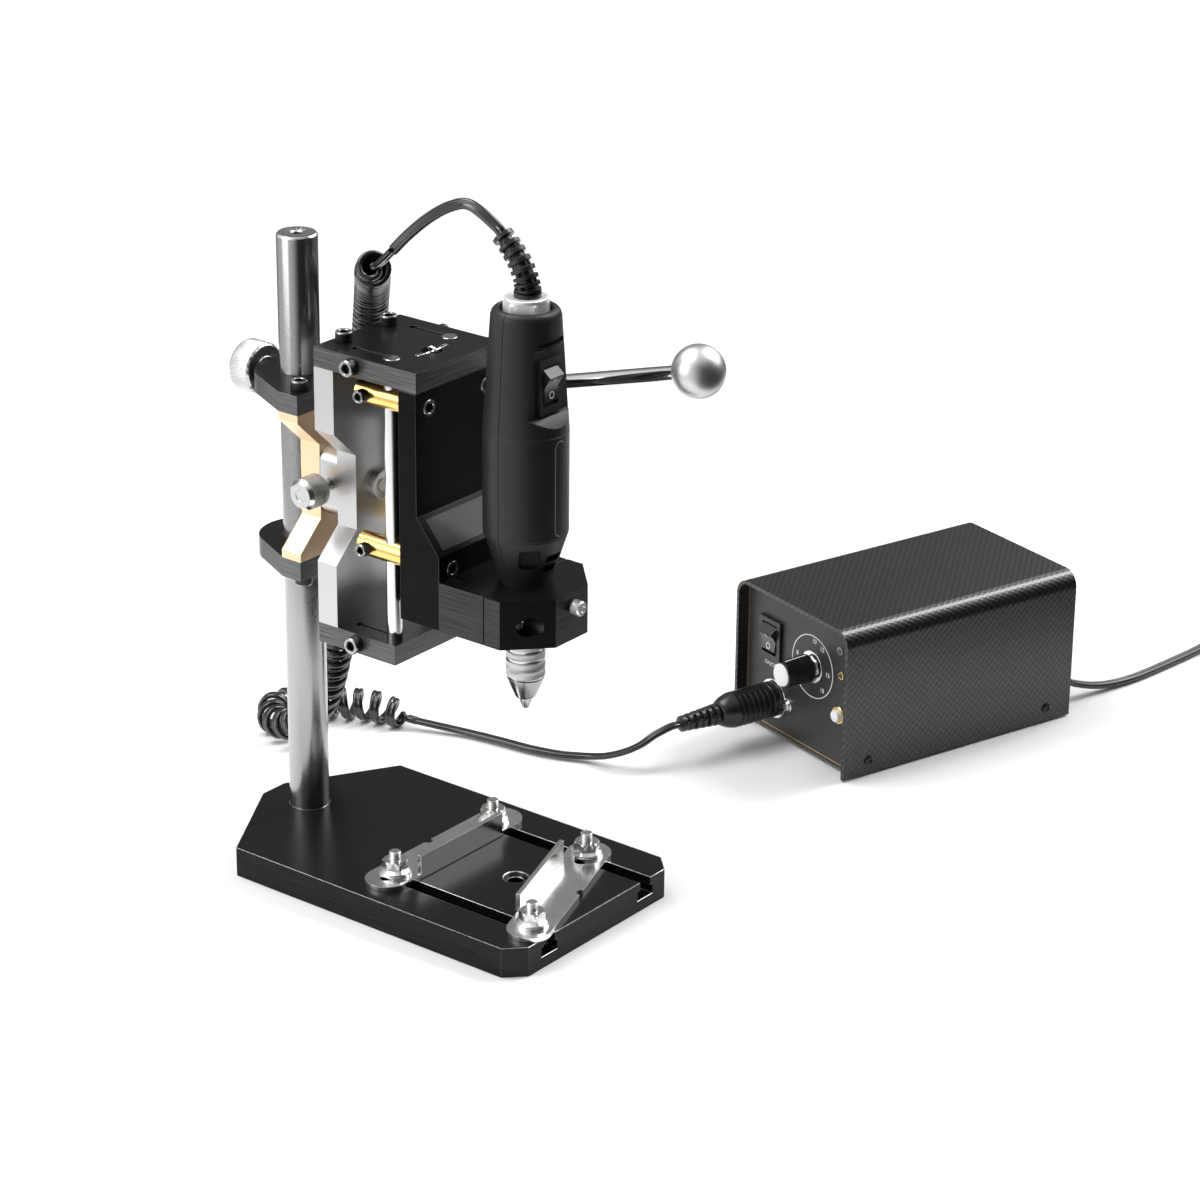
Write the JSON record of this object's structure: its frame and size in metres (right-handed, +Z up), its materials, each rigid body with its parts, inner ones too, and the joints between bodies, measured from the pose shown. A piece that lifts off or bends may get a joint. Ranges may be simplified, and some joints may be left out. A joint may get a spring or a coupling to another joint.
{
  "type": "mini bench drill stand with rotary tool",
  "caption": "Small bench drill stand that holds a hand rotary tool on a rack-and-pinion feed, with a curly cord and a speed controller box.",
  "frame": {"origin": "on the bench under the spindle axis, on the underside of the base plate", "axes": "+Z up along the spindle; +Y from the spindle back to the column; +X to the feed lever side"},
  "size_m": [0.7121, 0.4179, 0.3505],
  "materials": {
    "anodised": "satin",
    "gold": "satin",
    "silver": "satin",
    "steel": "satin",
    "dark_steel": "satin",
    "nickel": "polished",
    "brass": "polished",
    "plastic": "matte",
    "gloss": "glossy",
    "white": "satin",
    "cord": "glossy",
    "feet": "matte",
    "painted": "matte"
  },
  "bodies": {
    "base": {"base_plate": "anodised", "ctrl_chassis": "painted", "ctrl_cover": "painted", "ctrl_front_panel": "painted", "ctrl_feet": "feet", "ctrl_cover_screws": "dark_steel", "ctrl_internals": "steel", "ctrl_switch_frame": "gloss", "ctrl_panel_fittings": "nickel", "din_socket": "nickel", "din_plug": "gloss", "mains_gland": "plastic", "mains_cord_run": "cord", "mains_cord_coil": "cord", "mains_plug": "gloss", "curly_cord_run": "cord", "curly_cord_coil": "cord"},
    "column": {"column": "steel", "column_bolt": "dark_steel"},
    "bracket": {"upper_column_clamp": "anodised", "lower_column_clamp": "anodised", "pivot_bracket": "gold", "bracket_bolts": "dark_steel"},
    "lock_knob": {"column_lock_knob": "silver"},
    "head": {"back_plate": "silver", "tilt_boss": "silver", "top_plate": "anodised", "bottom_plate": "anodised", "guide_rods": "steel", "head_screws": "dark_steel", "return_spring": "nickel", "feed_rack": "steel"},
    "tilt_screw": {"tilt_thumbscrew": "nickel"},
    "carriage": {"carriage_frame": "anodised", "slope_panel": "plastic", "guide_bushes": "brass", "carriage_screws": "dark_steel", "pinion_bearing": "anodised", "arm_block": "anodised", "clamp_front": "anodised", "tool_shell_rear": "plastic", "tool_shell_front": "plastic", "tool_motor": "steel", "tool_switch_frame": "gloss", "cable_nut": "white", "strain_relief": "cord", "tool_cord_arc": "cord"},
    "tool_screw": {"tool_thumbscrew": "nickel"},
    "lever": {"pinion_shaft": "steel", "lever_arm": "nickel", "ball_knob": "silver"},
    "spindle": {"spindle": "steel"},
    "sleeve": {"chuck_sleeve": "steel"},
    "tool_switch": {"tool_rocker": "gloss"},
    "power_switch": {"ctrl_rocker": "gloss"},
    "speed_dial": {"speed_knob": "gloss"},
    "button": {"mode_button": "white"},
    "rear_fence": {"rear_fence": "nickel"},
    "front_fence": {"front_fence": "nickel"}
  },
  "joints": [
    {"name": "head_swivel", "type": "hinge", "parent": "base", "child": "column", "pos_m": [0, 0.1405, 0], "axis": [0, 0, 1], "range_deg": [-90, 90], "deforming": ["curly_cord_coil"]},
    {"name": "head_height", "type": "slide", "parent": "column", "child": "bracket", "axis": [0, 0, 1], "range_m": [-0.018, 0.06], "deforming": ["curly_cord_coil"]},
    {"name": "lock_knob_turn", "type": "hinge", "parent": "bracket", "child": "lock_knob", "pos_m": [0, 0.17, 0.2418], "axis": [0, 1, 0], "range_deg": [0, 360]},
    {"name": "head_tilt", "type": "hinge", "parent": "bracket", "child": "head", "pos_m": [0, 0.1, 0.1994], "axis": [0, 1, 0], "range_deg": [-30, 30], "deforming": ["curly_cord_coil"]},
    {"name": "tilt_screw_turn", "type": "hinge", "parent": "head", "child": "tilt_screw", "pos_m": [-0.029, 0.10865, 0.1994], "axis": [-1, 0, 0], "range_deg": [0, 360]},
    {"name": "feed", "type": "slide", "parent": "head", "child": "carriage", "axis": [0, 0, -1], "range_m": [0, 0.034], "stiffness_N_per_m": 200, "springref_m": -0.15, "deforming": ["return_spring", "curly_cord_coil"]},
    {"name": "lever_turn", "type": "hinge", "parent": "carriage", "child": "lever", "pos_m": [0.03, 0.0712, 0.2401], "axis": [1, 0, 0], "range_deg": [0, 130]},
    {"name": "tool_screw_turn", "type": "hinge", "parent": "carriage", "child": "tool_screw", "pos_m": [0, -0.03, 0.167], "axis": [0, -1, 0], "range_deg": [0, 360]},
    {"name": "spindle_turn", "type": "hinge", "parent": "carriage", "child": "spindle", "pos_m": [0, 0, 0.15], "axis": [0, 0, -1], "continuous": true},
    {"name": "sleeve_turn", "type": "hinge", "parent": "spindle", "child": "sleeve", "pos_m": [0, 0, 0.135], "axis": [0, 0, 1], "range_deg": [0, 360]},
    {"name": "tool_switch_tip", "type": "hinge", "parent": "carriage", "child": "tool_switch", "pos_m": [0, -0.013, 0.2725], "axis": [-1, 0, 0], "range_deg": [0, 28]},
    {"name": "power_switch_tip", "type": "hinge", "parent": "base", "child": "power_switch", "pos_m": [0.24318, 0.02798, 0.0558], "axis": [0.3007, 0.9537, 0], "range_deg": [0, 28]},
    {"name": "speed_dial_turn", "type": "hinge", "parent": "base", "child": "speed_dial", "pos_m": [0.22205, -0.00248, 0.0519], "axis": [0.9537, -0.3007, 0], "range_deg": [0, 300]},
    {"name": "button_press", "type": "slide", "parent": "base", "child": "button", "axis": [0.9537, -0.3007, 0], "range_m": [0, 0.0015], "stiffness_N_per_m": 300, "springref_m": -0.002},
    {"name": "rear_fence_slide", "type": "slide", "parent": "base", "child": "rear_fence", "axis": [0, 1, 0], "range_m": [-0.016, 0.005]},
    {"name": "front_fence_slide", "type": "slide", "parent": "base", "child": "front_fence", "axis": [0, 1, 0], "range_m": [-0.005, 0.014]}
  ],
  "couplings": [
    {"joint": "lever_turn", "follows": "feed", "rad_per_m": 66.667}
  ]
}
